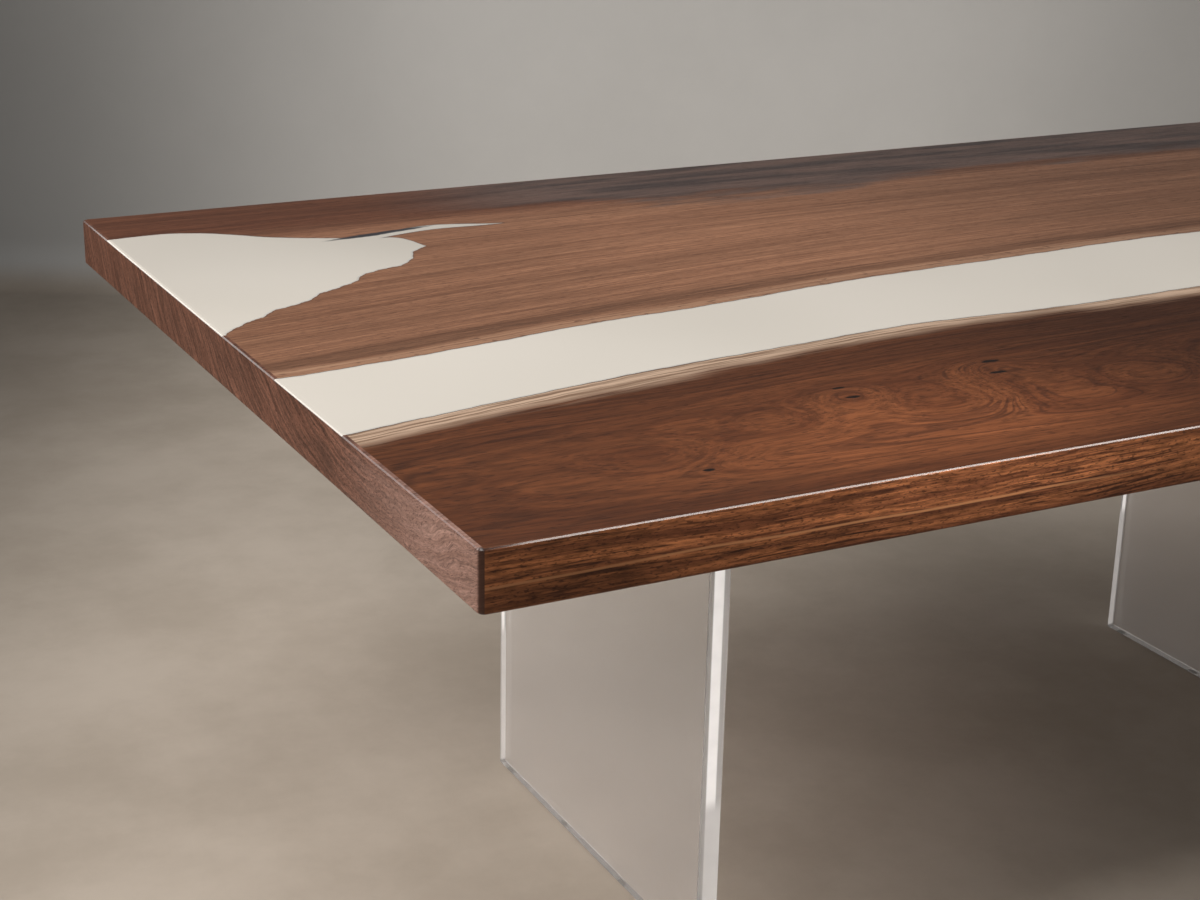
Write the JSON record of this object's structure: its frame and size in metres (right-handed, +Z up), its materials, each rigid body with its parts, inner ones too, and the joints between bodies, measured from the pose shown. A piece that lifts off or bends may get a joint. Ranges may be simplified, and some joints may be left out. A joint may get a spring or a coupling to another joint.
{
  "type": "live edge dining table",
  "caption": "Rectangular walnut live edge dining table with an ivory resin river and pool cast into the top, standing on clear acrylic panel legs.",
  "frame": {"origin": "on the floor, under the middle of the top", "axes": "+X along the length, to the right as seen from the front; +Y from the front edge to the rear edge; +Z up"},
  "size_m": [2.02, 1.3, 0.74],
  "materials": {
    "walnut_front": "satin lacquered walnut, dark",
    "walnut_rear": "satin lacquered walnut",
    "walnut_band": "satin lacquered walnut end grain",
    "ivory_resin": "opaque ivory casting resin, satin gloss",
    "clear_acrylic": "clear cast acrylic with polished edges",
    "plate_steel": "brushed flat bar",
    "channel_steel": "black powder coat",
    "bolt_steel": "bright zinc",
    "insert_brass": "turned brass",
    "glide_pad": "soft clear pad"
  },
  "bodies": {
    "root": {"front_slab": "walnut_front", "rear_slab": "walnut_rear", "left_end_band": "walnut_band", "right_end_band": "walnut_band", "river_resin": "ivory_resin", "pool_resin": "ivory_resin", "left_leg_panel": "clear_acrylic", "right_leg_panel": "clear_acrylic", "left_leg_plate": "plate_steel", "right_leg_plate": "plate_steel", "left_channel": "channel_steel", "middle_channel": "channel_steel", "right_channel": "channel_steel", "left_leg_screws": "bolt_steel", "right_leg_screws": "bolt_steel", "left_plate_bolts": "bolt_steel", "right_plate_bolts": "bolt_steel", "left_channel_bolts": "bolt_steel", "middle_channel_bolts": "bolt_steel", "right_channel_bolts": "bolt_steel", "left_channel_washers": "bolt_steel", "middle_channel_washers": "bolt_steel", "right_channel_washers": "bolt_steel", "left_leg_inserts": "insert_brass", "right_leg_inserts": "insert_brass", "left_plate_inserts": "insert_brass", "right_plate_inserts": "insert_brass", "left_channel_inserts": "insert_brass", "middle_channel_inserts": "insert_brass", "right_channel_inserts": "insert_brass", "left_leg_glides": "glide_pad", "right_leg_glides": "glide_pad"}
  },
  "joints": []
}
